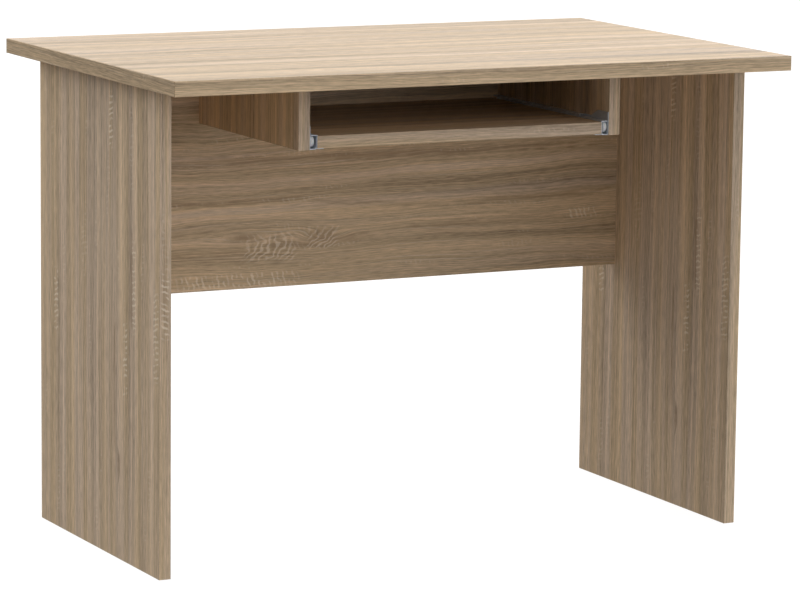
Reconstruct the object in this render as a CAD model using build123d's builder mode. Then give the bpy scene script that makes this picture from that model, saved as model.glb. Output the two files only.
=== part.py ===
"""Computer desk with a keyboard tray that rolls out on two side-mounted roller slides.

Millimetres. +Z is up, +X is to the right of a person sitting at the desk, and that person
sits on the -Y side. The origin is on the floor, under the centre of the desktop.
"""
from build123d import *
import os

# ---- overall sizes ----
DESK_WIDTH = 1000.0
DESK_DEPTH = 650.0
DESK_HEIGHT = 730.0

# ---- boards ----
TOP_THICKNESS = 22.0
BOARD = 18.0                     # side panels, modesty panel and dividers
TRAY_THICKNESS = 18.0
TOP_BAND = 2.0                   # edge band around the desktop
TOP_BAND_ROUND = 1.0
EDGE_BAND = 0.8                  # edge band on every other board
EDGE_BAND_ROUND = 0.4

# ---- where the boards stand ----
OVERHANG_SIDE = 20.0             # desktop past the outer face of a side panel
OVERHANG_FRONT = 100.0
OVERHANG_BACK = 90.0
MODESTY_HEIGHT = 355.0
MODESTY_INSET = 87.0             # back of the modesty panel to the back of the side panels
BAY_WIDTH = 492.0                # between the two dividers
DIVIDER_HEIGHT = 97.0

# ---- keyboard tray ----
SLIDE_GAP = 12.5                 # between a divider and the tray, one slide
TRAY_REAR_GAP = 5.0              # between the tray and the modesty panel
TRAY_RISE = 2.0                  # underside of the tray above the underside of the dividers
SLIDE_OVERLAP = 100.0            # how much of the slide stays engaged at full travel

# ---- slide: pressed steel rails ----
SHEET = 1.0
BEND_RADIUS = 0.8                # on the middle line of the sheet
RAIL_SETBACK = 1.0               # front of both rails behind the front of the divider
CABINET_RAIL_RISE = 0.4          # above the underside of the divider
CABINET_LIP_UP = 3.0             # height of the lip along the lower flange
CABINET_LIP_DOWN = 2.4           # height of the lip along the upper flange
CABINET_MOUTH = 72.0             # front stretch with no upper flange, so the tray lifts in
LIP_CLEARANCE = 1.1              # between the lips and the web of the tray rail
FLANGE_CLEARANCE = 0.6           # between the tray rail's upper flange and the lip above it
FAN_HEIGHT = 10.0                # fixing plate at the front, above the cabinet rail
FAN_LENGTH = 32.0
FAN_SLOPE = 20.0
TRAY_FLANGE_REACH = 10.0         # under the tray
TRAY_TOP_FLANGE_GAP = 2.0        # from the divider to the edge of the upper flange
REAR_CUTAWAY = 2.5               # between the upper flange and the rear roller
STOP_WIDTH = 16.0
STOP_HEIGHT = 1.5
STOP_GAP = 0.7                   # between the stop and the roller at full travel
REAR_TAB_HEIGHT = 4.0

# ---- slide: rollers and their rivets ----
CABINET_ROLLER_RADIUS = 8.5
TRAY_ROLLER_RADIUS = 10.5
ROLLER_INSET = 10.0              # centre of the front roller behind the front of the rail
TRAY_ROLLER_INSET = 14.0         # centre of the rear roller ahead of the back of the rail
ROLLING_GAP = 0.05               # between a roller and the flange that it carries
CABINET_ROLLER_FOOT_GAP = 1.95   # under the front roller
TRAY_ROLLER_HEAD_GAP = 0.95      # over the rear roller
ROLLER_RECESS = 1.0
ROLLER_RIM = 2.0
ROLLER_HUB_RADIUS = 4.0
ROLLER_ROUND = 0.5
ROLLER_LIP_GAP = 0.4             # beside a roller
ROLLER_WEB_GAP = 1.5
RIVET_RADIUS = 2.0
RIVET_SHOULDER_RADIUS = 3.0
RIVET_HEAD_RADIUS = 3.5
RIVET_HEAD = 0.8
RUNNING_CLEARANCE = 0.05         # roller bore on rivet, radial
END_PLAY = 0.1                   # roller between shoulder and head
SEAT_CLEARANCE = 0.03            # rivet in the hole of its rail, radial

# ---- screws ----
SCREW_RADIUS = 1.75
SCREW_HOLE_CLEARANCE = 0.35      # in sheet steel, radial
SCREW_TIP = 2.5
RAIL_SCREW_LENGTH = 13.0
RAIL_SCREW_HEAD_RADIUS = 3.6
RAIL_SCREW_HEAD = 0.9
RAIL_SCREW_INSET = 34.0          # first and last screw from the ends of the rail
TRAY_SCREW_LENGTH = 14.0
TRAY_SCREW_HEAD_RADIUS = 3.5
TRAY_SCREW_HEAD = 1.8
CROWN_SHARE = 0.6                # flat top of a screw head, of its radius
RIM_SHARE = 0.4                  # upright side of a screw head, of its height
RECESS_WIDTH = 0.7
RECESS_LENGTH = 3.6
RECESS_SHARE = 0.6               # depth of the cross recess, of the head's height
SYSTEM_HOLE_RADIUS = 3.1         # spare fixing holes in the cabinet rail
SYSTEM_HOLE_PITCH = 32.0
SYSTEM_HOLE_STEPS = (-2, -1, 1, 2)

# ---- knock-down fittings ----
FITTING_CLEARANCE = 0.05         # radial, in wood
CAM_RADIUS = 7.4
CAM_POCKET_RADIUS = 7.5
CAM_PAST_AXIS = 3.6              # how far the cam reaches past the bolt's axis
CAM_FLOOR_GAP = 0.7              # under the cam; keeps the pocket deeper than the bolt hole
CAM_SETBACK = 24.0               # cam centre from the edge of its board
CAM_CHAMBER_RADIUS = 4.8
CAM_CHAMBER_TOP = 4.0            # above the bolt's axis
CAM_MOUTH_WIDTH = 5.0
CAM_RECESS_LENGTH = 7.0
CAM_RECESS_WIDTH = 1.2
CAM_RECESS_DEPTH = 2.0
BOLT_HOLE_RADIUS = 4.0
BOLT_SHAFT_RADIUS = 3.5
BOLT_NECK_RADIUS = 2.0
BOLT_HEAD_RADIUS = 3.3
BOLT_HEAD = 3.4
BOLT_THREAD_RADIUS = 2.5
BOLT_THREAD = 11.0
BOLT_CHAMFER = 0.6
DOWEL_RADIUS = 4.0
DOWEL_IN_EDGE = 20.0
DOWEL_IN_FACE = 10.0
DOWEL_CHAMFER = 1.0
DOWEL_END_GAP = 0.5

# ---- fitting places along each board ----
SIDE_CAM_FROM_FRONT = 161.0
SIDE_CAM_FROM_BACK = 37.0
SIDE_DOWEL_FROM_FRONT = 37.0
SIDE_DOWEL_PAST_CAM = 124.0
MODESTY_CAM_FROM_END = 37.0      # from the upper and lower edge
MODESTY_DOWEL_PAST_CAM = 50.0
MODESTY_TOP_CAM_INSET = 16.0     # from the inner face of a divider
DIVIDER_CAM_FROM_FRONT = 161.0
DIVIDER_CAM_FROM_BACK = 34.0
DIVIDER_DOWEL_FROM_CAM = 84.0
DIVIDER_REAR_DOWEL_RISE = 49.0   # above the underside of the divider

# ---- levels and faces worked out from the sizes above ----
UNDERSIDE = DESK_HEIGHT - TOP_THICKNESS
SIDE_OUTER = DESK_WIDTH / 2 - OVERHANG_SIDE
SIDE_INNER = SIDE_OUTER - BOARD
FRONT = -DESK_DEPTH / 2 + OVERHANG_FRONT
BACK = DESK_DEPTH / 2 - OVERHANG_BACK
MODESTY_BACK = BACK - MODESTY_INSET
MODESTY_FRONT = MODESTY_BACK - BOARD
MODESTY_LOW = UNDERSIDE - MODESTY_HEIGHT
DIVIDER_INNER = BAY_WIDTH / 2
DIVIDER_OUTER = DIVIDER_INNER + BOARD
DIVIDER_LOW = UNDERSIDE - DIVIDER_HEIGHT
TRAY_HALF = DIVIDER_INNER - SLIDE_GAP
TRAY_LOW = DIVIDER_LOW + TRAY_RISE
TRAY_BACK = MODESTY_FRONT - TRAY_REAR_GAP

RAIL_FRONT = FRONT + RAIL_SETBACK
RAIL_BACK = TRAY_BACK
RAIL_LENGTH = RAIL_BACK - RAIL_FRONT
TRAY_TRAVEL = TRAY_BACK - FRONT - SLIDE_OVERLAP
CABINET_RAIL_LOW = DIVIDER_LOW + CABINET_RAIL_RISE
CABINET_TREAD = CABINET_RAIL_LOW + SHEET          # top of the lower flange
CABINET_ROLLER_Z = CABINET_TREAD + CABINET_ROLLER_FOOT_GAP + CABINET_ROLLER_RADIUS
TRAY_ROLLER_Z = CABINET_TREAD + ROLLING_GAP + TRAY_ROLLER_RADIUS
TRAY_RAIL_LOW = TRAY_LOW - SHEET
TRAY_RAIL_TOP = CABINET_ROLLER_Z + CABINET_ROLLER_RADIUS + ROLLING_GAP + SHEET
CABINET_RAIL_TOP = max(
    TRAY_ROLLER_Z + TRAY_ROLLER_RADIUS + TRAY_ROLLER_HEAD_GAP + SHEET,
    TRAY_RAIL_TOP + FLANGE_CLEARANCE + CABINET_LIP_DOWN,
)
TRAY_WEB = SLIDE_GAP - SHEET                      # distances from the divider's face
LIP_AT = TRAY_WEB - LIP_CLEARANCE - SHEET

CABINET_ROLLER_Y = RAIL_FRONT + ROLLER_INSET
CABINET_ROLLER_NEAR = SHEET + ROLLER_WEB_GAP
CABINET_ROLLER_FAR = LIP_AT - ROLLER_WEB_GAP + END_PLAY
TRAY_ROLLER_Y = RAIL_BACK - TRAY_ROLLER_INSET
TRAY_ROLLER_NEAR = SLIDE_GAP - LIP_AT + ROLLER_LIP_GAP        # from the tray's edge
TRAY_ROLLER_FAR = SLIDE_GAP - SHEET - RAIL_SCREW_HEAD - ROLLER_WEB_GAP

SIDES = (("left", -1), ("right", 1))


def save(piece, name):
    """Label a finished piece and write its file."""
    piece.part.label = name
    export_step(piece.part, f"parts/{name}.step")


# ======================= shapes used in several places =======================
# Knock-down fittings stand in a frame of their own: the origin is where the bolt or dowel
# crosses the joint, +Z points into the mating board, and +X out of the face with the cam.

with BuildPart() as cam_lock:
    with BuildSketch(Plane.YZ.offset(-CAM_PAST_AXIS)):
        with Locations((0, -CAM_SETBACK)):
            Circle(CAM_RADIUS)
    extrude(amount=CAM_PAST_AXIS + BOARD / 2)
    with BuildSketch(Plane.YZ.offset(-CAM_PAST_AXIS)):
        with Locations((0, -CAM_SETBACK)):
            Circle(CAM_CHAMBER_RADIUS)
            Rectangle(CAM_MOUTH_WIDTH, 2 * CAM_RADIUS, align=(Align.CENTER, Align.MIN))
    extrude(amount=CAM_PAST_AXIS + CAM_CHAMBER_TOP, mode=Mode.SUBTRACT)
    with BuildSketch(Plane.YZ.offset(BOARD / 2)):
        with Locations((0, -CAM_SETBACK)):
            Rectangle(CAM_RECESS_LENGTH, CAM_RECESS_WIDTH)
            Rectangle(CAM_RECESS_WIDTH, CAM_RECESS_LENGTH)
    extrude(amount=-CAM_RECESS_DEPTH, mode=Mode.SUBTRACT)

head_low = -CAM_SETBACK - BOLT_HEAD / 2
head_high = head_low + BOLT_HEAD
neck_high = -CAM_SETBACK + CAM_POCKET_RADIUS + CAM_FLOOR_GAP
with BuildPart() as cam_bolt:
    with BuildSketch(Plane.XZ):
        with BuildLine():
            Polyline(
                (0, BOLT_THREAD),
                (BOLT_THREAD_RADIUS - BOLT_CHAMFER, BOLT_THREAD),
                (BOLT_THREAD_RADIUS, BOLT_THREAD - BOLT_CHAMFER),
                (BOLT_THREAD_RADIUS, 0),
                (BOLT_SHAFT_RADIUS, 0),
                (BOLT_SHAFT_RADIUS, neck_high),
                (BOLT_NECK_RADIUS, neck_high - BOLT_CHAMFER),
                (BOLT_NECK_RADIUS, head_high),
                (BOLT_HEAD_RADIUS, head_high - BOLT_CHAMFER),
                (BOLT_HEAD_RADIUS, head_low + BOLT_CHAMFER),
                (BOLT_HEAD_RADIUS - BOLT_CHAMFER, head_low),
                (0, head_low),
                close=True,
            )
        make_face()
    revolve(axis=Axis.Z)

with BuildPart() as cam_cut:
    with BuildSketch(Plane.YZ.offset(-CAM_PAST_AXIS - CAM_FLOOR_GAP)):
        with Locations((0, -CAM_SETBACK)):
            Circle(CAM_POCKET_RADIUS)
    extrude(amount=CAM_PAST_AXIS + CAM_FLOOR_GAP + BOARD)
    with BuildSketch(Plane.XY.offset(-CAM_SETBACK)):
        Circle(BOLT_HOLE_RADIUS)
    extrude(amount=CAM_SETBACK)
    with BuildSketch(Plane.XY):
        Circle(BOLT_THREAD_RADIUS + FITTING_CLEARANCE)
    extrude(amount=BOLT_THREAD + DOWEL_END_GAP)

with BuildPart() as dowel:
    with BuildSketch(Plane.XY.offset(-DOWEL_IN_EDGE)):
        Circle(DOWEL_RADIUS)
    extrude(amount=DOWEL_IN_EDGE + DOWEL_IN_FACE)
    chamfer(dowel.edges().filter_by(GeomType.CIRCLE), length=DOWEL_CHAMFER)

with BuildPart() as dowel_cut:
    with BuildSketch(Plane.XY.offset(-DOWEL_IN_EDGE - DOWEL_END_GAP)):
        Circle(DOWEL_RADIUS + FITTING_CLEARANCE)
    extrude(amount=DOWEL_IN_EDGE + DOWEL_IN_FACE + 2 * DOWEL_END_GAP)


def screw_shape(length, head_radius, head_height):
    """Cross-recessed screw: seat of the head at the origin, head towards +Z."""
    with BuildPart() as screw:
        with BuildSketch(Plane.XZ):
            with BuildLine():
                Polyline(
                    (0, head_height),
                    (head_radius * CROWN_SHARE, head_height),
                    (head_radius, head_height * RIM_SHARE),
                    (head_radius, 0),
                    (SCREW_RADIUS, 0),
                    (SCREW_RADIUS, SCREW_TIP - length),
                    (0, -length),
                    close=True,
                )
            make_face()
        revolve(axis=Axis.Z)
        with BuildSketch(Plane.XY.offset(head_height)):
            Rectangle(RECESS_LENGTH, RECESS_WIDTH)
            Rectangle(RECESS_WIDTH, RECESS_LENGTH)
        extrude(amount=-head_height * RECESS_SHARE, mode=Mode.SUBTRACT)
    return screw.part


def screw_cut(length):
    """Hole that a screw of this length makes in wood."""
    with BuildPart() as cut:
        with BuildSketch(Plane.XY.offset(-length - DOWEL_END_GAP)):
            Circle(SCREW_RADIUS + FITTING_CLEARANCE)
        extrude(amount=length + DOWEL_END_GAP)
    return cut.part


def roller_shape(radius, width):
    """Nylon roller with a dished face each side, along +Z from the origin."""
    bore = RIVET_RADIUS + RUNNING_CLEARANCE
    rim = radius - ROLLER_RIM
    with BuildPart() as roller:
        with BuildSketch(Plane.XZ):
            with BuildLine():
                Polyline(
                    (bore, 0),
                    (ROLLER_HUB_RADIUS, 0),
                    (ROLLER_HUB_RADIUS + ROLLER_ROUND, ROLLER_RECESS),
                    (rim - ROLLER_ROUND, ROLLER_RECESS),
                    (rim, 0),
                    (radius - ROLLER_ROUND, 0),
                    (radius, ROLLER_ROUND),
                    (radius, width - ROLLER_ROUND),
                    (radius - ROLLER_ROUND, width),
                    (rim, width),
                    (rim - ROLLER_ROUND, width - ROLLER_RECESS),
                    (ROLLER_HUB_RADIUS + ROLLER_ROUND, width - ROLLER_RECESS),
                    (ROLLER_HUB_RADIUS, width),
                    (bore, width),
                    close=True,
                )
            make_face()
        revolve(axis=Axis.Z)
    return roller.part


def rivet_shape(roller_near, roller_far):
    """Shouldered rivet, flush with the back of its rail at the origin, along +Z."""
    shoulder = roller_near - END_PLAY
    head = roller_far + END_PLAY
    with BuildPart() as rivet:
        with BuildSketch(Plane.XZ):
            with BuildLine():
                Polyline(
                    (0, 0),
                    (RIVET_RADIUS, 0),
                    (RIVET_RADIUS, SHEET),
                    (RIVET_SHOULDER_RADIUS, SHEET),
                    (RIVET_SHOULDER_RADIUS, shoulder),
                    (RIVET_RADIUS, shoulder),
                    (RIVET_RADIUS, head),
                    (RIVET_HEAD_RADIUS, head),
                    (RIVET_HEAD_RADIUS - RIVET_HEAD / 2, head + RIVET_HEAD),
                    (0, head + RIVET_HEAD),
                    close=True,
                )
            make_face()
        revolve(axis=Axis.Z)
    return rivet.part


rail_screw = screw_shape(RAIL_SCREW_LENGTH, RAIL_SCREW_HEAD_RADIUS, RAIL_SCREW_HEAD)
rail_screw_cut = screw_cut(RAIL_SCREW_LENGTH)
tray_screw = screw_shape(TRAY_SCREW_LENGTH, TRAY_SCREW_HEAD_RADIUS, TRAY_SCREW_HEAD)
tray_screw_cut = screw_cut(TRAY_SCREW_LENGTH)

# ============================ places of the fittings ============================
UP = (0, 0, 1)
REARWARD = (0, 1, 0)
side_mid = SIDE_OUTER - BOARD / 2
modesty_mid = MODESTY_BACK - BOARD / 2
divider_mid = DIVIDER_INNER + BOARD / 2


def joint(x, y, z, into_mate, cam_face):
    """Frame of one fitting, where it crosses the joint between two boards."""
    return Plane(origin=(x, y, z), x_dir=cam_face, z_dir=into_mate)


side_cam_y = (FRONT + SIDE_CAM_FROM_FRONT, BACK - SIDE_CAM_FROM_BACK)
side_dowel_y = (FRONT + SIDE_DOWEL_FROM_FRONT, side_cam_y[0] + SIDE_DOWEL_PAST_CAM)
side_cams = {}
side_dowels = {}
modesty_side_cams = {}
modesty_side_dowels = {}
divider_cams = {}
divider_top_dowels = {}
divider_rear_dowels = {}
modesty_cam_z = (UNDERSIDE - MODESTY_CAM_FROM_END, MODESTY_LOW + MODESTY_CAM_FROM_END)
modesty_dowel_z = (
    modesty_cam_z[0] - MODESTY_DOWEL_PAST_CAM,
    modesty_cam_z[1] + MODESTY_DOWEL_PAST_CAM,
)
divider_cam_y = (FRONT + DIVIDER_CAM_FROM_FRONT, MODESTY_FRONT - DIVIDER_CAM_FROM_BACK)
divider_dowel_y = (
    divider_cam_y[0] - DIVIDER_DOWEL_FROM_CAM,
    (divider_cam_y[0] + divider_cam_y[1]) / 2,
)
rear_dowel_z = DIVIDER_LOW + DIVIDER_REAR_DOWEL_RISE
for side, sign in SIDES:
    inward = (-sign, 0, 0)
    outward = (sign, 0, 0)
    side_cams[side] = [joint(sign * side_mid, y, UNDERSIDE, UP, inward) for y in side_cam_y]
    side_dowels[side] = [joint(sign * side_mid, y, UNDERSIDE, UP, inward) for y in side_dowel_y]
    modesty_side_cams[side] = [
        joint(sign * SIDE_INNER, modesty_mid, z, outward, REARWARD) for z in modesty_cam_z
    ]
    modesty_side_dowels[side] = [
        joint(sign * SIDE_INNER, modesty_mid, z, outward, REARWARD) for z in modesty_dowel_z
    ]
    divider_cams[side] = [
        joint(sign * divider_mid, y, UNDERSIDE, UP, inward) for y in divider_cam_y
    ]
    divider_top_dowels[side] = [
        joint(sign * divider_mid, y, UNDERSIDE, UP, inward) for y in divider_dowel_y
    ]
    divider_rear_dowels[side] = [
        joint(sign * divider_mid, MODESTY_FRONT, rear_dowel_z, REARWARD, inward)
    ]

top_cam_x = DIVIDER_INNER - MODESTY_TOP_CAM_INSET
top_dowel_x = (DIVIDER_OUTER + SIDE_INNER) / 2
modesty_top_cams = [joint(s * top_cam_x, modesty_mid, UNDERSIDE, UP, REARWARD) for s in (-1, 1)]
modesty_top_dowels = [
    joint(s * top_dowel_x, modesty_mid, UNDERSIDE, UP, REARWARD) for s in (-1, 1)
]

rail_mid_y = (RAIL_FRONT + RAIL_BACK) / 2
rail_screw_y = (RAIL_FRONT + RAIL_SCREW_INSET, rail_mid_y, RAIL_BACK - RAIL_SCREW_INSET)
cabinet_screw_z = (CABINET_RAIL_LOW + CABINET_RAIL_TOP) / 2
tray_screw_x = TRAY_HALF - TRAY_FLANGE_REACH / 2
rail_screws = {}
tray_screws = {}
cabinet_rivets = {}
tray_rivets = {}
for side, sign in SIDES:
    inward = (-sign, 0, 0)
    outward = (sign, 0, 0)
    seat_x = sign * (DIVIDER_INNER - SHEET)
    rail_screws[side] = [
        Plane(origin=(seat_x, y, cabinet_screw_z), x_dir=UP, z_dir=inward) for y in rail_screw_y
    ]
    tray_screws[side] = [
        Plane(origin=(sign * tray_screw_x, y, TRAY_RAIL_LOW), x_dir=REARWARD, z_dir=(0, 0, -1))
        for y in rail_screw_y
    ]
    cabinet_rivets[side] = Plane(
        origin=(sign * DIVIDER_INNER, CABINET_ROLLER_Y, CABINET_ROLLER_Z), x_dir=UP, z_dir=inward
    )
    tray_rivets[side] = Plane(
        origin=(sign * TRAY_HALF, TRAY_ROLLER_Y, TRAY_ROLLER_Z), x_dir=UP, z_dir=outward
    )

os.makedirs("parts", exist_ok=True)

# ================================== desktop ==================================
every_top_cam = side_cams["left"] + side_cams["right"] + modesty_top_cams
every_top_cam += divider_cams["left"] + divider_cams["right"]
every_top_dowel = side_dowels["left"] + side_dowels["right"] + modesty_top_dowels
every_top_dowel += divider_top_dowels["left"] + divider_top_dowels["right"]

with BuildPart() as desktop_board:
    with BuildSketch(Plane.XY.offset(UNDERSIDE)):
        Rectangle(DESK_WIDTH - 2 * TOP_BAND, DESK_DEPTH - 2 * TOP_BAND)
    extrude(amount=TOP_THICKNESS)
    with Locations(*every_top_cam):
        add(cam_cut.part, mode=Mode.SUBTRACT)
    with Locations(*every_top_dowel):
        add(dowel_cut.part, mode=Mode.SUBTRACT)
save(desktop_board, "desktop_board")

for end, sign in (("front", -1), ("back", 1)):
    with BuildPart() as band:
        with BuildSketch(Plane.XY.offset(UNDERSIDE)):
            with Locations((0, sign * (DESK_DEPTH - TOP_BAND) / 2)):
                Rectangle(DESK_WIDTH, TOP_BAND)
        extrude(amount=TOP_THICKNESS)
        outer_face = band.faces().sort_by(Axis.Y)[0 if sign < 0 else -1]
        fillet(outer_face.edges(), radius=TOP_BAND_ROUND)
    save(band, f"desktop_edge_{end}")

for side, sign in SIDES:
    with BuildPart() as band:
        with BuildSketch(Plane.XY.offset(UNDERSIDE)):
            with Locations((sign * (DESK_WIDTH - TOP_BAND) / 2, 0)):
                Rectangle(TOP_BAND, DESK_DEPTH - 2 * TOP_BAND)
        extrude(amount=TOP_THICKNESS)
        outer_face = band.faces().sort_by(Axis.X)[0 if sign < 0 else -1]
        fillet(outer_face.edges().filter_by(Axis.Y), radius=TOP_BAND_ROUND)
    save(band, f"desktop_edge_{side}")

# ================================ side panels ================================
for side, sign in SIDES:
    with BuildPart() as panel:
        with BuildSketch(Plane.XY):
            with Locations((sign * side_mid, (FRONT + BACK) / 2)):
                Rectangle(BOARD, BACK - FRONT - 2 * EDGE_BAND)
        extrude(amount=UNDERSIDE)
        with Locations(*side_cams[side], *modesty_side_cams[side]):
            add(cam_cut.part, mode=Mode.SUBTRACT)
        with Locations(*side_dowels[side], *modesty_side_dowels[side]):
            add(dowel_cut.part, mode=Mode.SUBTRACT)
    save(panel, f"{side}_side_panel")

    for end, edge, direction in (("front", FRONT, 1), ("back", BACK, -1)):
        with BuildPart() as band:
            with BuildSketch(Plane.XY):
                with Locations((sign * side_mid, edge + direction * EDGE_BAND / 2)):
                    Rectangle(BOARD, EDGE_BAND)
            extrude(amount=UNDERSIDE)
            outer_face = band.faces().sort_by(Axis.Y)[0 if direction > 0 else -1]
            fillet(outer_face.edges().filter_by(Axis.Z), radius=EDGE_BAND_ROUND)
        save(band, f"{side}_side_edge_{end}")

# =============================== modesty panel ===============================
with BuildPart() as modesty_panel:
    with BuildSketch(Plane.XY.offset(MODESTY_LOW + EDGE_BAND)):
        with Locations((0, modesty_mid)):
            Rectangle(2 * SIDE_INNER, BOARD)
    extrude(amount=MODESTY_HEIGHT - EDGE_BAND)
    with Locations(*modesty_side_cams["left"], *modesty_side_cams["right"], *modesty_top_cams):
        add(cam_cut.part, mode=Mode.SUBTRACT)
    with Locations(*modesty_side_dowels["left"], *modesty_side_dowels["right"]):
        add(dowel_cut.part, mode=Mode.SUBTRACT)
    with Locations(*modesty_top_dowels, *divider_rear_dowels["left"], *divider_rear_dowels["right"]):
        add(dowel_cut.part, mode=Mode.SUBTRACT)
save(modesty_panel, "modesty_panel")

with BuildPart() as modesty_edge_bottom:
    with BuildSketch(Plane.XY.offset(MODESTY_LOW)):
        with Locations((0, modesty_mid)):
            Rectangle(2 * SIDE_INNER, BOARD)
    extrude(amount=EDGE_BAND)
    lower_face = modesty_edge_bottom.faces().sort_by(Axis.Z)[0]
    fillet(lower_face.edges().filter_by(Axis.X), radius=EDGE_BAND_ROUND)
save(modesty_edge_bottom, "modesty_edge_bottom")

# ================================== dividers ==================================
for side, sign in SIDES:
    with BuildPart() as divider:
        with BuildSketch(Plane.XY.offset(DIVIDER_LOW + EDGE_BAND)):
            with Locations((sign * divider_mid, (FRONT + EDGE_BAND + MODESTY_FRONT) / 2)):
                Rectangle(BOARD, MODESTY_FRONT - FRONT - EDGE_BAND)
        extrude(amount=DIVIDER_HEIGHT - EDGE_BAND)
        with Locations(*divider_cams[side]):
            add(cam_cut.part, mode=Mode.SUBTRACT)
        with Locations(*divider_top_dowels[side], *divider_rear_dowels[side]):
            add(dowel_cut.part, mode=Mode.SUBTRACT)
        with Locations(*rail_screws[side]):
            add(rail_screw_cut, mode=Mode.SUBTRACT)
    save(divider, f"{side}_divider")

    with BuildPart() as band:
        with BuildSketch(Plane.XY.offset(DIVIDER_LOW)):
            with Locations((sign * divider_mid, FRONT + EDGE_BAND / 2)):
                Rectangle(BOARD, EDGE_BAND)
        extrude(amount=DIVIDER_HEIGHT)
        outer_face = band.faces().sort_by(Axis.Y)[0]
        fillet(outer_face.edges().filter_by(Axis.Z), radius=EDGE_BAND_ROUND)
    save(band, f"{side}_divider_edge_front")

    with BuildPart() as band:
        with BuildSketch(Plane.XY.offset(DIVIDER_LOW)):
            with Locations((sign * divider_mid, (FRONT + EDGE_BAND + MODESTY_FRONT) / 2)):
                Rectangle(BOARD, MODESTY_FRONT - FRONT - EDGE_BAND)
        extrude(amount=EDGE_BAND)
        lower_face = band.faces().sort_by(Axis.Z)[0]
        fillet(lower_face.edges().filter_by(Axis.Y), radius=EDGE_BAND_ROUND)
    save(band, f"{side}_divider_edge_bottom")

# ============================= knock-down fittings =============================
fitting_groups = {
    "side_panel": (
        side_cams["left"] + side_cams["right"],
        side_dowels["left"] + side_dowels["right"],
    ),
    "modesty": (
        modesty_side_cams["left"] + modesty_side_cams["right"] + modesty_top_cams,
        modesty_side_dowels["left"] + modesty_side_dowels["right"] + modesty_top_dowels,
    ),
    "divider": (
        divider_cams["left"] + divider_cams["right"],
        divider_top_dowels["left"] + divider_top_dowels["right"]
        + divider_rear_dowels["left"] + divider_rear_dowels["right"],
    ),
}
for board_name, (cam_places, dowel_places) in fitting_groups.items():
    with BuildPart() as cam_locks:
        with Locations(*cam_places):
            add(cam_lock.part)
    save(cam_locks, f"{board_name}_cam_locks")

    with BuildPart() as cam_bolts:
        with Locations(*cam_places):
            add(cam_bolt.part)
    save(cam_bolts, f"{board_name}_cam_bolts")

    with BuildPart() as dowels:
        with Locations(*dowel_places):
            add(dowel.part)
    save(dowels, f"{board_name}_dowels")

# ================================ keyboard tray ================================
tray_depth = TRAY_BACK - FRONT
with BuildPart() as keyboard_tray_board:
    with BuildSketch(Plane.XY.offset(TRAY_LOW)):
        with Locations((0, (FRONT + TRAY_BACK) / 2)):
            Rectangle(2 * (TRAY_HALF - EDGE_BAND), tray_depth - 2 * EDGE_BAND)
    extrude(amount=TRAY_THICKNESS)
    with Locations(*tray_screws["left"], *tray_screws["right"]):
        add(tray_screw_cut, mode=Mode.SUBTRACT)
save(keyboard_tray_board, "keyboard_tray_board")

for end, edge, direction in (("front", FRONT, 1), ("back", TRAY_BACK, -1)):
    with BuildPart() as band:
        with BuildSketch(Plane.XY.offset(TRAY_LOW)):
            with Locations((0, edge + direction * EDGE_BAND / 2)):
                Rectangle(2 * TRAY_HALF, EDGE_BAND)
        extrude(amount=TRAY_THICKNESS)
        outer_face = band.faces().sort_by(Axis.Y)[0 if direction > 0 else -1]
        fillet(outer_face.edges() + band.edges().filter_by(Axis.Y), radius=EDGE_BAND_ROUND)
    save(band, f"tray_edge_{end}")

for side, sign in SIDES:
    with BuildPart() as band:
        with BuildSketch(Plane.XY.offset(TRAY_LOW)):
            with Locations((sign * (TRAY_HALF - EDGE_BAND / 2), (FRONT + TRAY_BACK) / 2)):
                Rectangle(EDGE_BAND, tray_depth - 2 * EDGE_BAND)
        extrude(amount=TRAY_THICKNESS)
        outer_face = band.faces().sort_by(Axis.X)[0 if sign < 0 else -1]
        fillet(outer_face.edges().filter_by(Axis.Y), radius=EDGE_BAND_ROUND)
    save(band, f"tray_edge_{side}")

# =================================== slides ===================================
# The profiles are drawn for the left slide, on the inner face of the left divider.
wall = -DIVIDER_INNER
front_section = Plane.XZ.offset(-RAIL_FRONT)
mouth_section = Plane.XZ.offset(-RAIL_FRONT - CABINET_MOUTH)
web_plane = Plane.YZ.offset(wall)
half = SHEET / 2
hole_depth = 2 * SHEET
cabinet_split = CABINET_RAIL_TOP - 2 * SHEET
tray_split = TRAY_RAIL_TOP - 2 * SHEET
top_flange_end = TRAY_ROLLER_Y - TRAY_ROLLER_RADIUS - REAR_CUTAWAY
stop_below_axle = TRAY_ROLLER_RADIUS + ROLLING_GAP - STOP_HEIGHT
stop_half_chord = (TRAY_ROLLER_RADIUS**2 - stop_below_axle**2) ** 0.5
stop_back = TRAY_ROLLER_Y - TRAY_TRAVEL - stop_half_chord - STOP_GAP
stop_reach = LIP_AT - SHEET - 2 * ROLLER_LIP_GAP
stop_x = wall + (SHEET + LIP_AT) / 2

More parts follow.
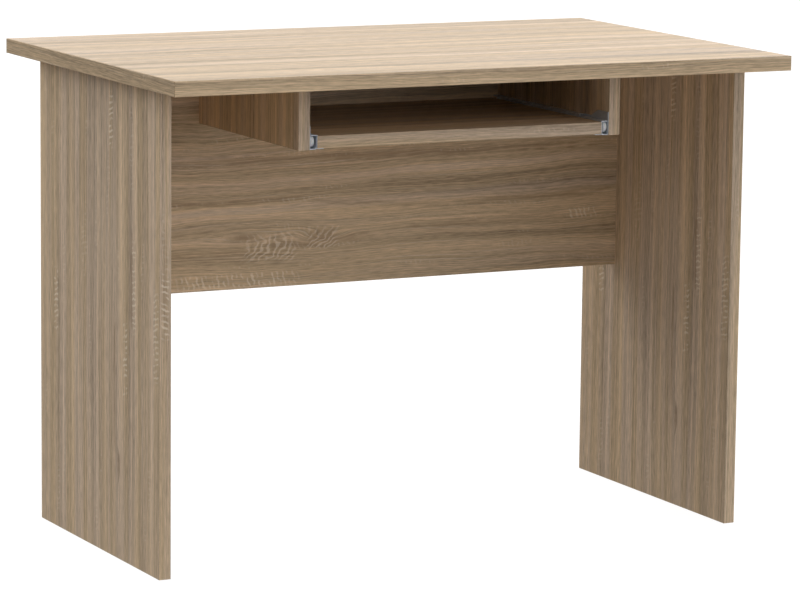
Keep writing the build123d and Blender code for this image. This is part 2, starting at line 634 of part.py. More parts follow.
with BuildPart() as cabinet_rail:
    # lower lip, lower flange and web, over the whole length
    with BuildSketch(front_section):
        with BuildLine():
            FilletPolyline(
                (wall + LIP_AT + half, CABINET_RAIL_LOW + CABINET_LIP_UP),
                (wall + LIP_AT + half, CABINET_RAIL_LOW + half),
                (wall + half, CABINET_RAIL_LOW + half),
                (wall + half, cabinet_split),
                radius=BEND_RADIUS,
            )
        trace(line_width=SHEET)
    extrude(amount=-RAIL_LENGTH)
    # upper flange and its lip, behind the mouth
    with BuildSketch(mouth_section):
        with BuildLine():
            FilletPolyline(
                (wall + half, cabinet_split - SHEET),
                (wall + half, CABINET_RAIL_TOP - half),
                (wall + LIP_AT + half, CABINET_RAIL_TOP - half),
                (wall + LIP_AT + half, CABINET_RAIL_TOP - CABINET_LIP_DOWN),
                radius=BEND_RADIUS,
            )
        trace(line_width=SHEET)
    extrude(amount=-(RAIL_LENGTH - CABINET_MOUTH))
    # fixing plate that stands above the rail at the front
    with BuildSketch(web_plane):
        with BuildLine():
            Polyline(
                (RAIL_FRONT, cabinet_split - SHEET),
                (RAIL_FRONT, CABINET_RAIL_TOP + FAN_HEIGHT),
                (RAIL_FRONT + FAN_LENGTH, CABINET_RAIL_TOP + FAN_HEIGHT),
                (RAIL_FRONT + FAN_LENGTH + FAN_SLOPE, CABINET_RAIL_TOP),
                (RAIL_FRONT + CABINET_MOUTH, CABINET_RAIL_TOP),
                (RAIL_FRONT + CABINET_MOUTH, cabinet_split - SHEET),
                close=True,
            )
        make_face()
    extrude(amount=SHEET)
    # travel stop pressed up out of the lower flange, and a tab at the back
    with BuildSketch(Plane.XY.offset(CABINET_RAIL_LOW + half)):
        with Locations((stop_x, stop_back - STOP_WIDTH / 2)):
            Rectangle(stop_reach, STOP_WIDTH)
    extrude(amount=half + STOP_HEIGHT)
    with BuildSketch(Plane.XY.offset(CABINET_RAIL_LOW + half)):
        with Locations((stop_x, RAIL_BACK - half)):
            Rectangle(stop_reach, SHEET)
    extrude(amount=half + REAR_TAB_HEIGHT)
    # holes: rivet, screws and spare fixing holes
    rivet_at = (wall + SHEET, CABINET_ROLLER_Y, CABINET_ROLLER_Z)
    with Locations(Plane(origin=rivet_at, z_dir=(1, 0, 0))):
        Hole(RIVET_RADIUS + SEAT_CLEARANCE, depth=hole_depth)
    with Locations(*rail_screws["left"]):
        Hole(SCREW_RADIUS + SCREW_HOLE_CLEARANCE, depth=hole_depth)
    spare_y = [rail_mid_y + step * SYSTEM_HOLE_PITCH for step in SYSTEM_HOLE_STEPS]
    spare_places = [
        Plane(origin=(wall + SHEET, y, cabinet_screw_z), z_dir=(1, 0, 0)) for y in spare_y
    ]
    with Locations(*spare_places):
        Hole(SYSTEM_HOLE_RADIUS, depth=hole_depth)

with BuildPart() as tray_rail:
    # flange under the tray and web, over the whole length
    with BuildSketch(front_section):
        with BuildLine():
            FilletPolyline(
                (wall + SLIDE_GAP + TRAY_FLANGE_REACH, TRAY_RAIL_LOW + half),
                (wall + TRAY_WEB + half, TRAY_RAIL_LOW + half),
                (wall + TRAY_WEB + half, tray_split),
                radius=BEND_RADIUS,
            )
        trace(line_width=SHEET)
    extrude(amount=-RAIL_LENGTH)
    # upper flange, which runs on the front roller and stops short of the rear one
    with BuildSketch(front_section):
        with BuildLine():
            FilletPolyline(
                (wall + TRAY_WEB + half, tray_split - SHEET),
                (wall + TRAY_WEB + half, TRAY_RAIL_TOP - half),
                (wall + TRAY_TOP_FLANGE_GAP, TRAY_RAIL_TOP - half),
                radius=BEND_RADIUS,
            )
        trace(line_width=SHEET)
    extrude(amount=-(top_flange_end - RAIL_FRONT))
    # holes: rivet and screws
    rivet_at = (wall + TRAY_WEB, TRAY_ROLLER_Y, TRAY_ROLLER_Z)
    with Locations(Plane(origin=rivet_at, z_dir=(-1, 0, 0))):
        Hole(RIVET_RADIUS + SEAT_CLEARANCE, depth=hole_depth)
    with Locations(*tray_screws["left"]):
        Hole(SCREW_RADIUS + SCREW_HOLE_CLEARANCE, depth=hole_depth)

for left_rail, rail_name in ((cabinet_rail, "cabinet_rail"), (tray_rail, "tray_rail")):
    save(left_rail, f"left_{rail_name}")
    with BuildPart() as right_rail:
        mirror(left_rail.part, about=Plane.YZ)
    save(right_rail, f"right_{rail_name}")

roller_sets = {
    "cabinet_roller": (
        roller_shape(CABINET_ROLLER_RADIUS, CABINET_ROLLER_FAR - CABINET_ROLLER_NEAR),
        rivet_shape(CABINET_ROLLER_NEAR, CABINET_ROLLER_FAR),
        cabinet_rivets,
        CABINET_ROLLER_NEAR,
    ),
    "tray_roller": (
        roller_shape(TRAY_ROLLER_RADIUS, TRAY_ROLLER_FAR - TRAY_ROLLER_NEAR),
        rivet_shape(TRAY_ROLLER_NEAR, TRAY_ROLLER_FAR),
        tray_rivets,
        TRAY_ROLLER_NEAR,
    ),
}
for roller_name, (roller, rivet, places, near) in roller_sets.items():
    for side, sign in SIDES:
        with BuildPart() as axle:
            with Locations(places[side]):
                add(rivet)
        save(axle, f"{side}_{roller_name}_axle")
        with BuildPart() as wheel:
            with Locations(places[side].offset(near)):
                add(roller)
        save(wheel, f"{side}_{roller_name}")

for side, sign in SIDES:
    with BuildPart() as screws:
        with Locations(*rail_screws[side]):
            add(rail_screw)
    save(screws, f"{side}_cabinet_rail_screws")
    with BuildPart() as screws:
        with Locations(*tray_screws[side]):
            add(tray_screw)
    save(screws, f"{side}_tray_rail_screws")

print(f"tray travel {TRAY_TRAVEL:.1f}")
print(f"cabinet roller at y {CABINET_ROLLER_Y:.2f}, z {CABINET_ROLLER_Z:.2f}")
print(f"tray roller at y {TRAY_ROLLER_Y:.2f}, z {TRAY_ROLLER_Z:.2f}")
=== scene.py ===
"""Looks of the computer desk: oak decor boards, zinc-plated slides and nylon rollers."""
import math

import bpy
from mathutils import Matrix, Vector


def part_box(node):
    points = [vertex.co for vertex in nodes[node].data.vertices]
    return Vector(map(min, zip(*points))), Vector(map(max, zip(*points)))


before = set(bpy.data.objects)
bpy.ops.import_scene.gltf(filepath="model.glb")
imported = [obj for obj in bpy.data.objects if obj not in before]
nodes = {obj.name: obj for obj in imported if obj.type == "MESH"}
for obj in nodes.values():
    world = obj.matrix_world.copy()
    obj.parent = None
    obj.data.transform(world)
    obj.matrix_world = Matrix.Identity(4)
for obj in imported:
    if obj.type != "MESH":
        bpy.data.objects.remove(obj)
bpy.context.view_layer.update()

MM = 0.001

# ---- camera: a long lens, from the front left and a little above the desktop ----
CAMERA_AT = (-2.6951, -5.4277, 1.3358)
CAMERA_YAW = 0.4629              # radians to the right of +Y
CAMERA_PITCH = -0.1623
CAMERA_ROLL = 0.0110
CAMERA_LENS = 181.4
SENSOR = 36.0

# ---- light: large soft sources round the desk ----
# direction towards each, how tightly it is gathered, and its level
CEILING = ((0.0, 0.0, 1.0), 1.0, 0.85)
BEHIND_HIGH = ((0.0, 0.75, 0.66), 4.0, 1.40)
LEFT_HIGH = ((-0.75, 0.0, 0.66), 4.0, 0.65)
RIGHT_WALL = ((1.0, 0.0, 0.0), 2.0, 2.50)
RIGHT_FRONT_WALL = ((1.0, -1.0, 0.0), 2.0, 1.90)
FLOOR_GLOW = ((0.0, 0.0, -1.0), 1.0, 0.66)
WALL_FADE = 8.0                  # how soon the walls darken with height

STAGE_SIZE = 30.0                # half the floor; the room has to lie within the views' clip distance
ROOM_SIZE = 1.5 * STAGE_SIZE
FLOOR_GREY = (0.20, 0.20, 0.20, 1.0)
FLOOR_LEVEL = 0.92               # emission that brings the floor to white
ROOM_LEVEL = 1.1
WHITE = (1.0, 1.0, 1.0, 1.0)
BLACK = (0.0, 0.0, 0.0, 1.0)


# ============================== node tree helper ==============================
class Tree:
    """Short names for building a shader node tree."""

    def __init__(self, tree):
        self.tree = tree
        tree.nodes.clear()

    def node(self, kind, **settings):
        made = self.tree.nodes.new(kind)
        for name, value in settings.items():
            setattr(made, name, value)
        return made

    def link(self, source, target):
        self.tree.links.new(source, target)

    def put(self, target, value):
        """Link a socket or set a constant."""
        if isinstance(value, bpy.types.NodeSocket):
            self.link(value, target)
        else:
            target.default_value = value

    def math(self, operation, a, b=0.0, c=0.0):
        made = self.node("ShaderNodeMath", operation=operation)
        for target, value in zip(made.inputs, (a, b, c)):
            self.put(target, value)
        return made.outputs[0]

    def add(self, a, b):
        return self.math("ADD", a, b)

    def sub(self, a, b):
        return self.math("SUBTRACT", a, b)

    def mul(self, a, b):
        return self.math("MULTIPLY", a, b)

    def scaled(self, value, gain, offset=0.0):
        return self.math("MULTIPLY_ADD", value, gain, offset)

    def scaled_vector(self, vector, gain):
        made = self.node("ShaderNodeVectorMath", operation="SCALE")
        self.link(vector, made.inputs[0])
        self.put(made.inputs["Scale"], gain)
        return made.outputs[0]

    def step(self, value, low, high):
        """Smooth step from 0 at low to 1 at high."""
        made = self.node("ShaderNodeMapRange", interpolation_type="SMOOTHSTEP")
        self.put(made.inputs["Value"], value)
        made.inputs["From Min"].default_value = low
        made.inputs["From Max"].default_value = high
        return made.outputs["Result"]

    def vector(self, x, y, z):
        made = self.node("ShaderNodeCombineXYZ")
        for target, value in zip(made.inputs, (x, y, z)):
            self.put(target, value)
        return made.outputs[0]

    def split(self, vector):
        made = self.node("ShaderNodeSeparateXYZ")
        self.link(vector, made.inputs[0])
        return made.outputs

    def noise(self, vector, detail=2.0, roughness=0.5):
        """Noise from 0 to 1 with a mean of a half."""
        made = self.node("ShaderNodeTexNoise")
        self.link(vector, made.inputs["Vector"])
        made.inputs["Scale"].default_value = 1.0
        made.inputs["Detail"].default_value = detail
        made.inputs["Roughness"].default_value = roughness
        return made.outputs["Fac"]

    def mix(self, factor, a, b):
        """Colour a where factor is 0 and colour b where it is 1."""
        made = self.node("ShaderNodeMix", data_type="RGBA")
        self.put(made.inputs["Factor"], factor)
        self.put(made.inputs[6], a)
        self.put(made.inputs[7], b)
        return made.outputs[2]


def new_material(name):
    """A material with an empty Principled shader, its tree helper and the shader."""
    material = bpy.data.materials.new(name)
    material.use_nodes = True
    tree = Tree(material.node_tree)
    shader = tree.node("ShaderNodeBsdfPrincipled")
    output = tree.node("ShaderNodeOutputMaterial")
    tree.link(shader.outputs[0], output.inputs["Surface"])
    return material, tree, shader


def object_place(t):
    """The object's own coordinates in millimetres, and its own normal."""
    coords = t.node("ShaderNodeTexCoord")
    return t.scaled_vector(coords.outputs["Object"], 1 / MM), coords.outputs["Normal"]


def add_bump(t, shader, height, strength, distance):
    """Fine relief; distance is in millimetres."""
    bump = t.node("ShaderNodeBump")
    bump.inputs["Strength"].default_value = strength
    bump.inputs["Distance"].default_value = distance * MM
    t.link(height, bump.inputs["Height"])
    t.link(bump.outputs[0], shader.inputs["Normal"])


# ================================= oak decor =================================
GREY_BEIGE = (0.590, 0.450, 0.324, 1.0)
WARM_TAN = (0.595, 0.438, 0.274, 1.0)
DARK_BROWN = (0.270, 0.170, 0.095, 1.0)
PALE = (0.900, 0.790, 0.640, 1.0)
CHIP_DARK = (0.30, 0.20, 0.115, 1.0)
CHIP_PALE = (0.62, 0.47, 0.30, 1.0)

# how far each layer of the print lightens and darkens the board
STRIPE_SHARE = 1.00
YEAR_LINE_SHARE = 0.58
THIN_LINE_SHARE = 1.00
FLECK_SHARE = 1.10
FIBRE_SHARE = 0.60

# how strongly each kind of mark shows
HAIR_SHARE = 0.28
LOOSE_STREAK_SHARE = 0.50
ASKED_STREAK_AND_SHADE_SHARE = 0.62
LOOSE_LADDER_SHARE = 0.30
TICK_SHARE = 0.52
PORE_SHARE = 0.34
KNOT_SHARE = 0.42
FIGURE_PALE_SHARE = 0.42
FIGURE_DARK_SHARE = 0.22

TICK_PITCH = 8.5                 # mm from saw mark to saw mark
FIGURE_PITCH = 12.0              # mm from flame to flame in a figure
BOARD_SPECULAR = 0.35


DECOR_INPUTS = (
    "Along", "Across", "Seed", "Sway", "Band", "Tone", "Warmth", "Contrast", "Streak_and_shade", "Ladder",
)


def make_decor_group():
    """Printed oak. Along and Across are millimetres in the plane of the board.

    Sway bends the grain, Band is the width of the broad stripes, Tone and Warmth shift the whole board,
    and Streak_and_shade and Ladder, where they are 1, ask for a dark mark and for saw marks;
    the dark marks are printed grain lines and painted shade alike.
    """
    group = bpy.data.node_groups.new("oak_decor", "ShaderNodeTree")
    sockets = group.interface
    for name in DECOR_INPUTS:
        sockets.new_socket(name, in_out="INPUT", socket_type="NodeSocketFloat")
    sockets.new_socket("Color", in_out="OUTPUT", socket_type="NodeSocketColor")
    sockets.new_socket("Roughness", in_out="OUTPUT", socket_type="NodeSocketFloat")
    sockets.new_socket("Height", in_out="OUTPUT", socket_type="NodeSocketFloat")
    t = Tree(group)
    given = t.node("NodeGroupInput").outputs
    (along, across, seed, sway, band, tone_shift, warm_shift, contrast,
     asked_streak_and_shade, asked_ladder) = (given[name] for name in DECOR_INPUTS)

    def field(length, width, shift, v, detail=2.0, roughness=0.5):
        """Noise stretched to length along the grain and width across it."""
        cross = t.math("DIVIDE", v, width)
        where = t.vector(t.scaled(along, 1 / length), cross, t.add(seed, shift))
        return t.noise(where, detail, roughness)

    def swayed(v, length, width, shift, reach):
        """The place across the grain, pushed to and fro by up to reach."""
        wave = t.scaled(field(length, width, shift, v, 1.0), 2 * reach, -reach)
        return t.math("MULTIPLY_ADD", wave, sway, v)

    v = swayed(across, 460, 150, 1.3, 34)
    v = swayed(v, 150, 46, 4.1, 9)
    v = swayed(v, 42, 13, 7.7, 2.2)

    # broad stripes of two hues, then year lines and fibres
    stripe = field(1900, band, 11.0, v, 1.0)
    line = field(1100, 8.5, 21.0, v, 2.0)
    thin = field(420, 2.4, 31.0, v, 2.0)
    fleck = field(24, 1.3, 36.0, v, 2.0, 0.6)
    fibre = field(26, 0.75, 41.0, v, 3.0, 0.6)
    warmth = field(1500, 22, 51.0, v, 2.0)
    base = t.mix(t.step(t.add(warmth, warm_shift), 0.38, 0.62), GREY_BEIGE, WARM_TAN)
    layers = (
        (stripe, STRIPE_SHARE), (line, YEAR_LINE_SHARE), (thin, THIN_LINE_SHARE),
        (fleck, FLECK_SHARE), (fibre, FIBRE_SHARE),
    )
    tone = 0.0
    for layer, share in layers:
        tone = t.add(tone, t.scaled(layer, share, -share / 2))
    gain = t.add(t.math("MULTIPLY_ADD", tone, contrast, 1.0), tone_shift)
    color = t.scaled_vector(base, gain)

    # hair-thin pale lines
    hair = t.step(field(330, 1.5, 55.0, v, 1.0), 0.60, 0.74)
    color = t.mix(t.mul(hair, HAIR_SHARE), color, PALE)

    # thin dark lines and streaks, gathered in places; the asked-for dark marks are printed grain and
    # also painted shade
    gathered = t.step(field(420, 55, 71.0, v, 1.0), 0.46, 0.66)
    streak_and_shade = t.mul(t.step(field(240, 2.6, 61.0, v, 2.0), 0.60, 0.76), t.scaled(gathered, 0.8, 0.2))
    broken = t.step(field(160, 3.2, 65.0, v, 2.0), 0.34, 0.62)
    wanted = t.mul(asked_streak_and_shade, t.scaled(broken, 0.65, 0.35))
    loose_streak = t.mul(t.mul(streak_and_shade, contrast), LOOSE_STREAK_SHARE)
    streak_and_shade = t.math("MAXIMUM", loose_streak, t.mul(wanted, ASKED_STREAK_AND_SHADE_SHARE))
    color = t.mix(streak_and_shade, color, DARK_BROWN)

    # saw marks: short pale ticks across the grain, one above the other
    ladder = t.step(field(170, 15, 81.0, v, 1.0), 0.62, 0.70)
    ladder = t.math("MAXIMUM", t.mul(ladder, LOOSE_LADDER_SHARE), asked_ladder)
    loose = t.noise(t.vector(t.scaled(along, 1 / 16), t.scaled(v, 1 / 7), seed), 1.0)
    slanted = t.add(t.add(along, t.scaled(v, 0.35)), t.scaled(loose, 9.0))
    wave = t.math("SINE", t.scaled(slanted, 2 * math.pi / TICK_PITCH))
    patches = t.vector(t.scaled(along, 1 / 12), t.scaled(v, 1 / 12), t.add(seed, 91.0))
    kept = t.step(t.noise(patches, 1.0), 0.38, 0.56)
    tick = t.mul(t.mul(t.step(wave, 0.0, 0.8), kept), ladder)
    color = t.mix(t.mul(tick, TICK_SHARE), color, PALE)

    # pores: short dark dashes
    pore = t.step(field(6.5, 0.45, 101.0, v, 1.0), 0.64, 0.76)
    pore = t.mul(pore, t.step(field(150, 8, 111.0, v, 1.0), 0.40, 0.62))
    color = t.mix(t.mul(pore, PORE_SHARE), color, DARK_BROWN)

    # relief and gloss follow the fibres, the pores and the marks
    height = t.sub(t.scaled(fibre, 0.5), t.mul(pore, 0.9))
    height = t.add(t.add(height, t.mul(tick, 0.3)), t.scaled(thin, 0.25))
    rough = t.add(t.scaled(fibre, 0.18, 0.40), t.mul(pore, 0.14))
    rough = t.sub(rough, t.mul(streak_and_shade, 0.10))
    done = t.node("NodeGroupOutput")
    t.link(color, done.inputs["Color"])
    t.link(rough, done.inputs["Roughness"])
    t.link(height, done.inputs["Height"])
    return group


decor = make_decor_group()
AXES = {"X": 0, "Y": 1, "Z": 2}


def chipboard(t, place):
    """Raw particle board, where a board is cut or drilled. Place is in millimetres."""
    cells = t.node("ShaderNodeTexVoronoi", feature="F1")
    flat = t.node("ShaderNodeVectorMath", operation="MULTIPLY")
    t.link(place, flat.inputs[0])
    flat.inputs[1].default_value = (0.55, 0.55, 1.1)
    t.link(flat.outputs[0], cells.inputs["Vector"])
    cells.inputs["Scale"].default_value = 1.0
    shade = t.split(cells.outputs["Color"])[0]
    return t.mix(shade, CHIP_DARK, CHIP_PALE), shade


def oak(name, grain, across, facing, seed, coarse=1.0, sway=0.5, band=30.0, tone=0.0, warmth=0.0,
        contrast=1.0, knots=(), figures=(), streaks_and_shade=(), ladders=()):
    """Oak decor on the faces that look along facing; chipboard on the others.

    Coarse widens the grain; sway, band, tone, warmth and contrast are those of the decor group.
    knots: (along, across, length, width); ladders: (along, across, length, width);
    figures, pale flames across the grain: (along, across, length, width, lean);
    streaks_and_shade, printed dark grain lines and painted shade: (along, across, length, width, rise,
    strength);
    all in mm, rise in mm per mm.
    """
    material, t, shader = new_material(name)
    place, normal = object_place(t)
    axis = t.split(place)
    u = axis[AXES[grain]]
    v = axis[AXES[across]]
    patches = t.vector(t.scaled(u, 1 / 30), t.scaled(v, 1 / 6), seed)
    ragged = t.scaled(t.noise(patches, 3.0, 0.65), 1.6, -0.8)

    def spread(at_u, at_v, length, width, rise):
        """Distances from a place, as shares of half its length and half its width."""
        level = t.add(t.scaled(u, rise, -rise * at_u), at_v)
        du = t.math("ABSOLUTE", t.scaled(u, 2 / length, -2 * at_u / length))
        dv = t.math("ABSOLUTE", t.scaled(t.sub(v, level), 2 / width))
        return du, dv

    def fading(distance, near, far):
        """1 up to near, then down to 0 at far."""
        return t.sub(1.0, t.step(distance, near, far))

    def joined(parts):
        whole = 0.0
        for part in parts:
            whole = t.math("MAXIMUM", part, whole)
        return whole

    dark = []
    for at_u, at_v, length, width, rise, strength in streaks_and_shade:
        du, dv = spread(at_u, at_v, length, width, rise)
        lies = t.mul(fading(t.add(du, ragged), 0.55, 1.15), fading(t.add(dv, ragged), 0.2, 1.1))
        dark.append(t.mul(lies, strength))
    sawn = []
    for at_u, at_v, length, width in ladders:
        du, dv = spread(at_u, at_v, length, width, 0.0)
        sawn.append(t.mul(fading(du, 0.7, 1.0), fading(dv, 0.5, 1.0)))

    # the grain bends round each knot: the coordinate across it is drawn towards the knot
    plain_v = v
    eyes = []
    for at_u, at_v, length, width in knots:
        du = t.scaled(u, 1 / length, -at_u / length)
        dv = t.scaled(v, 1 / width, -at_v / width)
        near = t.math("EXPONENT", t.mul(t.add(t.mul(du, du), t.mul(dv, dv)), -1.0))
        v = t.sub(v, t.mul(t.mul(t.mul(dv, width), near), 0.85))
        v = t.add(v, t.mul(near, 0.8 * width))
        eyes.append(t.add(near, t.scaled(ragged, 0.45)))

    inside = t.node("ShaderNodeGroup", node_tree=decor)
    t.put(inside.inputs["Along"], u)
    t.put(inside.inputs["Across"], t.scaled(v, 1 / coarse))
    t.put(inside.inputs["Streak_and_shade"], joined(dark))
    t.put(inside.inputs["Ladder"], joined(sawn))
    settings = {
        "Seed": seed, "Sway": sway, "Band": band, "Tone": tone, "Warmth": warmth, "Contrast": contrast,
    }
    for setting, value in settings.items():
        inside.inputs[setting].default_value = value
    color = inside.outputs["Color"]
    for near in eyes:
        color = t.mix(t.mul(t.step(near, 0.5, 1.0), KNOT_SHARE), color, DARK_BROWN)
    for at_u, at_v, length, width, lean in figures:
        du, dv = spread(at_u, at_v, length, width, 0.0)
        lies = fading(t.add(t.math("MAXIMUM", du, dv), t.scaled(ragged, 0.5)), 0.6, 1.1)
        curl = t.math("ABSOLUTE", t.sub(plain_v, at_v))
        bent = t.add(t.add(u, t.scaled(plain_v, lean)), t.mul(t.mul(curl, curl), 0.03))
        loose = t.noise(t.vector(t.scaled(u, 1 / 22), t.scaled(plain_v, 1 / 15), seed), 2.0)
        wave = t.math("SINE", t.add(t.scaled(bent, 2 * math.pi / FIGURE_PITCH), t.scaled(loose, 16.0)))
        crest = t.mul(lies, t.step(wave, 0.25, 0.95))
        trough = t.mul(lies, t.step(wave, -0.3, -0.95))
        color = t.mix(t.mul(crest, FIGURE_PALE_SHARE), color, PALE)
        color = t.mix(t.mul(trough, FIGURE_DARK_SHARE), color, DARK_BROWN)

    raw, raw_shade = chipboard(t, place)
    faces = t.split(normal)[AXES[facing]]
    printed = t.step(t.math("ABSOLUTE", faces), 0.55, 0.75)
    t.link(t.mix(printed, raw, color), shader.inputs["Base Color"])
    rough = t.node("ShaderNodeMix", data_type="FLOAT")
    t.link(printed, rough.inputs["Factor"])
    t.put(rough.inputs[2], t.scaled(raw_shade, 0.1, 0.8))
    t.link(inside.outputs["Roughness"], rough.inputs[3])
    t.link(rough.outputs[0], shader.inputs["Roughness"])
    add_bump(t, shader, inside.outputs["Height"], 0.22, 0.25)
    shader.inputs["Specular IOR Level"].default_value = BOARD_SPECULAR
    return material


# ============================== metal and nylon ==============================
RAIL_TINT = (0.74, 0.79, 0.86, 1.0)
SCREW_TINT = (0.70, 0.71, 0.73, 1.0)
ALLOY_TINT = (0.48, 0.48, 0.49, 1.0)
DULLING = 0.86                   # the clouds' share of the bright tint
CLOUD_SIZE = 14.0                # mm
NYLON_WHITE = (0.90, 0.91, 0.92, 1.0)
NYLON_WORN = (0.55, 0.56, 0.57, 1.0)
TRACK_WIDTH = 0.4                # mm of the rim that the rail has worn


def zinc_plate(name, tint, roughness, streak_axis, metallic=0.9):
    """Bright zinc on rolled steel: faint rolling lines and cloudy passivation."""
    material, t, shader = new_material(name)
    place, _ = object_place(t)
    axis = t.split(place)
    sizes = [0.7, 0.7, 0.7]
    sizes[AXES[streak_axis]] = 60.0
    stretched = [t.scaled(place_along, 1 / size) for place_along, size in zip(axis, sizes)]
    lines = t.noise(t.vector(*stretched), 3.0, 0.6)
    cloud = t.noise(t.scaled_vector(place, 1 / CLOUD_SIZE), 3.0, 0.55)
    dull = tuple(DULLING * channel for channel in tint[:3]) + (1.0,)
    t.link(t.mix(t.step(cloud, 0.30, 0.70), dull, tint), shader.inputs["Base Color"])
    rough = t.add(t.scaled(lines, 0.18, roughness - 0.09), t.scaled(cloud, 0.08, -0.04))
    t.link(rough, shader.inputs["Roughness"])
    add_bump(t, shader, lines, 0.15, 0.05)
    shader.inputs["Metallic"].default_value = metallic
    return material


def moulded_nylon(name, center, radius):
    """White nylon with a grey track worn round the rim."""
    material, t, shader = new_material(name)
    place, _ = object_place(t)
    axis = t.split(place)
    dy = t.sub(axis[1], center.y / MM)
    dz = t.sub(axis[2], center.z / MM)
    out = t.math("SQRT", t.add(t.mul(dy, dy), t.mul(dz, dz)))
    speck = t.noise(place, 3.0, 0.6)
    rim = radius / MM
    worn = t.mul(t.step(out, rim - TRACK_WIDTH, rim), t.scaled(speck, 0.8))
    t.link(t.mix(worn, NYLON_WHITE, NYLON_WORN), shader.inputs["Base Color"])
    t.link(t.scaled(speck, 0.20, 0.32), shader.inputs["Roughness"])
    add_bump(t, shader, speck, 0.2, 0.04)
    shader.inputs["Subsurface Weight"].default_value = 0.15
    shader.inputs["Subsurface Scale"].default_value = 1.5 * MM
    return material


# ============================ who wears what ============================
def assign(material, *names):
    """Give the pieces with these names one material."""
    for name in names:
        slots = nodes[name].data.materials
        slots.clear()
        slots.append(material)


BOTH = ("left", "right")

# the marks that the photograph shows on the desktop, the side panels and the modesty panel are asked for
# by place, in the desk's own millimetres; all other grain is left to the noise
desktop = oak(
    "oak_desktop", "X", "Y", "Z", 3.0, coarse=1.6, sway=0.45, band=22.0, contrast=1.1, tone=-0.03,
    warmth=0.06, streaks_and_shade=((195, 213, 90, 16, -0.2, 0.7),),
)
assign(desktop, "desktop_board")
band_long = oak("oak_band_long", "X", "Z", "Y", 5.2, sway=0.35, tone=0.04, warmth=0.18)
assign(band_long, "desktop_edge_front", "desktop_edge_back")
band_short = oak("oak_band_short", "Y", "Z", "X", 7.4, sway=0.35, tone=0.04, warmth=0.20)
assign(band_short, "desktop_edge_left", "desktop_edge_right")
for number, side in enumerate(BOTH):
    panel = oak(
        f"oak_{side}_side_panel", "Z", "Y", "X", 12.0, coarse=1.5, sway=0.12, band=20.0,
        knots=((140, -74, 34, 8),),
        streaks_and_shade=(
            (410, -122, 150, 12, 0.0, 0.9), (250, -58, 210, 10, 0.0, 0.9), (500, -196, 120, 8, 0.0, 0.7),
        ),
        ladders=(
            (645, -45, 90, 20), (411, -131, 150, 18), (350, -212, 150, 24),
            (350, 172, 110, 20), (300, -98, 130, 20),
        ),
    )
    assign(panel, f"{side}_side_panel")
    band = oak(
        f"oak_{side}_side_band", "Z", "X", "Y", 20.0 + number, sway=0.1, tone=0.10 * number,
        streaks_and_shade=((430, -472, 180, 10, 0.0, 0.8),), ladders=((397, -471, 110, 16),),
    )
    assign(band, f"{side}_side_edge_front", f"{side}_side_edge_back")
    divider = oak(f"oak_{side}_divider", "Z", "Y", "X", 30.0 + number, sway=0.08, band=22.0, warmth=0.05)
    assign(divider, f"{side}_divider")
    divider_band = oak(f"oak_{side}_divider_band", "Z", "X", "Y", 34.0 + number, sway=0.1, tone=-0.06)
    assign(divider_band, f"{side}_divider_edge_front")
    divider_under = oak(f"oak_{side}_divider_under", "Y", "X", "Z", 36.0 + number, sway=0.1)
    assign(divider_under, f"{side}_divider_edge_bottom")
modesty = oak(
    "oak_modesty", "X", "Z", "Y", 41.0, sway=0.6, band=30.0, tone=-0.02, warmth=0.10,
    knots=((-58, 430, 40, 13), (-190, 430, 60, 10)),
    figures=((-146, 416, 92, 46, -0.4), (-56, 427, 56, 32, -1.2)),
    streaks_and_shade=(
        # the first of these, the long dark band at 550 mm just under the keyboard tray, is painted shade
        # of the tray laid over a printed dark line; the rest are printed grain
        (0, 550, 900, 20, 0.0, 1.0), (-210, 487, 300, 12, 0.0, 0.8), (40, 474, 260, 12, -0.08, 0.7),
        (300, 470, 300, 16, 0.02, 0.8), (-60, 420, 200, 18, 0.04, 0.8), (220, 436, 260, 20, 0.02, 0.6),
        (-250, 412, 200, 14, 0.0, 0.6),
    ),
    ladders=((-200, 366, 230, 26), (90, 575, 150, 30), (400, 440, 60, 20)),
)
assign(modesty, "modesty_panel")
assign(oak("oak_modesty_under", "X", "Y", "Z", 43.0), "modesty_edge_bottom")
assign(oak("oak_tray", "X", "Y", "Z", 47.0, sway=0.5), "keyboard_tray_board")
tray_band = oak("oak_tray_band", "X", "Z", "Y", 49.0, sway=0.3, tone=-0.12)
assign(tray_band, "tray_edge_front", "tray_edge_back")
tray_band_side = oak("oak_tray_band_side", "Y", "Z", "X", 51.0, sway=0.3)
assign(tray_band_side, "tray_edge_left", "tray_edge_right")

rail_zinc = zinc_plate("zinc_rail", RAIL_TINT, 0.46, "Y", 0.55)
screw_zinc = zinc_plate("zinc_screw", SCREW_TINT, 0.30, "Z")
alloy = zinc_plate("zinc_alloy", ALLOY_TINT, 0.55, "X")
beech = oak("beech_dowel", "Z", "X", "Y", 60.0)      # plain wood, hidden inside the joints
for side in BOTH:
    assign(rail_zinc, f"{side}_cabinet_rail", f"{side}_tray_rail")
    assign(screw_zinc, f"{side}_cabinet_rail_screws", f"{side}_tray_rail_screws")
    assign(screw_zinc, f"{side}_cabinet_roller_axle", f"{side}_tray_roller_axle")
    for kind in ("cabinet", "tray"):
        name = f"{side}_{kind}_roller"
        low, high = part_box(name)
        assign(moulded_nylon(f"nylon_{name}", (low + high) / 2, (high.y - low.y) / 2), name)
for board in ("side_panel", "modesty", "divider"):
    assign(alloy, f"{board}_cam_locks")
    assign(screw_zinc, f"{board}_cam_bolts")
    assign(beech, f"{board}_dowels")


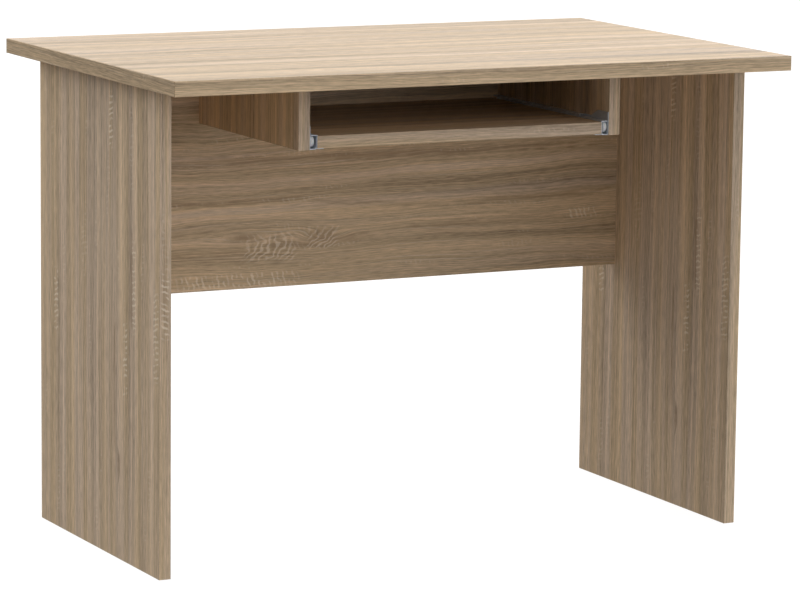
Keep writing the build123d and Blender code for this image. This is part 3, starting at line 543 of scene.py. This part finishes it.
# ================================ stage and light ================================
def make_stage():
    """A plain pale floor and a white room, seen by the camera only."""
    corners = ((-1, -1), (1, -1), (1, 1), (-1, 1))
    vertices = [(right * STAGE_SIZE, back * STAGE_SIZE, -MM) for right, back in corners]
    mesh = bpy.data.meshes.new("floor")
    mesh.from_pydata(vertices, [], [(0, 1, 2, 3)])
    floor = bpy.data.objects.new("floor", mesh)
    bpy.context.collection.objects.link(floor)
    floor.visible_diffuse = False
    floor.visible_glossy = False
    material, _, shader = new_material("floor")
    shader.inputs["Base Color"].default_value = FLOOR_GREY
    shader.inputs["Roughness"].default_value = 1.0
    shader.inputs["Specular IOR Level"].default_value = 0.0
    shader.inputs["Emission Color"].default_value = WHITE
    shader.inputs["Emission Strength"].default_value = FLOOR_LEVEL
    mesh.materials.append(material)

    bpy.ops.mesh.primitive_uv_sphere_add(segments=48, ring_count=24, radius=ROOM_SIZE)
    room = bpy.context.object
    room.name = "room"
    room.visible_diffuse = False
    room.visible_glossy = False
    room.visible_shadow = False
    glow, _, shader = new_material("room")
    shader.inputs["Base Color"].default_value = BLACK
    shader.inputs["Specular IOR Level"].default_value = 0.0
    shader.inputs["Emission Color"].default_value = WHITE
    shader.inputs["Emission Strength"].default_value = ROOM_LEVEL
    room.data.materials.append(glow)


def make_light():
    """A soft white room: most light comes from the right, above and behind, little from the floor."""
    world = bpy.data.worlds.new("room_light")
    bpy.context.scene.world = world
    world.use_nodes = True
    t = Tree(world.node_tree)
    toward = t.node("ShaderNodeTexCoord").outputs["Generated"]
    height = t.split(toward)[2]
    above = t.math("GREATER_THAN", height, 0.0)
    low_down = t.mul(above, t.math("EXPONENT", t.mul(t.mul(height, height), -WALL_FADE)))

    def source(light, within):
        """One soft source, seen only where within is 1."""
        aim, tightness, level = light
        facing = t.node("ShaderNodeVectorMath", operation="DOT_PRODUCT")
        t.link(toward, facing.inputs[0])
        facing.inputs[1].default_value = Vector(aim).normalized()
        gathered = t.math("POWER", t.math("MAXIMUM", facing.outputs["Value"], 0.0), tightness)
        return t.mul(t.mul(gathered, level), within)

    total = source(FLOOR_GLOW, 1.0)
    for light in (CEILING, BEHIND_HIGH, LEFT_HIGH):
        total = t.add(total, source(light, above))
    for light in (RIGHT_WALL, RIGHT_FRONT_WALL):
        total = t.add(total, source(light, low_down))
    background = t.node("ShaderNodeBackground")
    t.link(total, background.inputs["Strength"])
    background.inputs["Color"].default_value = WHITE
    output = t.node("ShaderNodeOutputWorld")
    t.link(background.outputs[0], output.inputs["Surface"])


def make_camera():
    """The photograph's camera: no shift and no depth of field."""
    data = bpy.data.cameras.new("camera")
    data.lens = CAMERA_LENS
    data.sensor_width = SENSOR
    data.clip_end = 10 * STAGE_SIZE
    forward = Vector((
        math.sin(CAMERA_YAW) * math.cos(CAMERA_PITCH),
        math.cos(CAMERA_YAW) * math.cos(CAMERA_PITCH),
        math.sin(CAMERA_PITCH),
    ))
    level = Vector((math.cos(CAMERA_YAW), -math.sin(CAMERA_YAW), 0.0))
    above = level.cross(forward)
    right = level * math.cos(CAMERA_ROLL) + above * math.sin(CAMERA_ROLL)
    up = above * math.cos(CAMERA_ROLL) - level * math.sin(CAMERA_ROLL)
    turn = Matrix((right, up, -forward)).transposed()
    camera = bpy.data.objects.new("camera", data)
    camera.matrix_world = Matrix.Translation(CAMERA_AT) @ turn.to_4x4()
    bpy.context.collection.objects.link(camera)
    bpy.context.scene.camera = camera


make_stage()
make_light()
make_camera()
bpy.context.scene.view_settings.view_transform = "Standard"
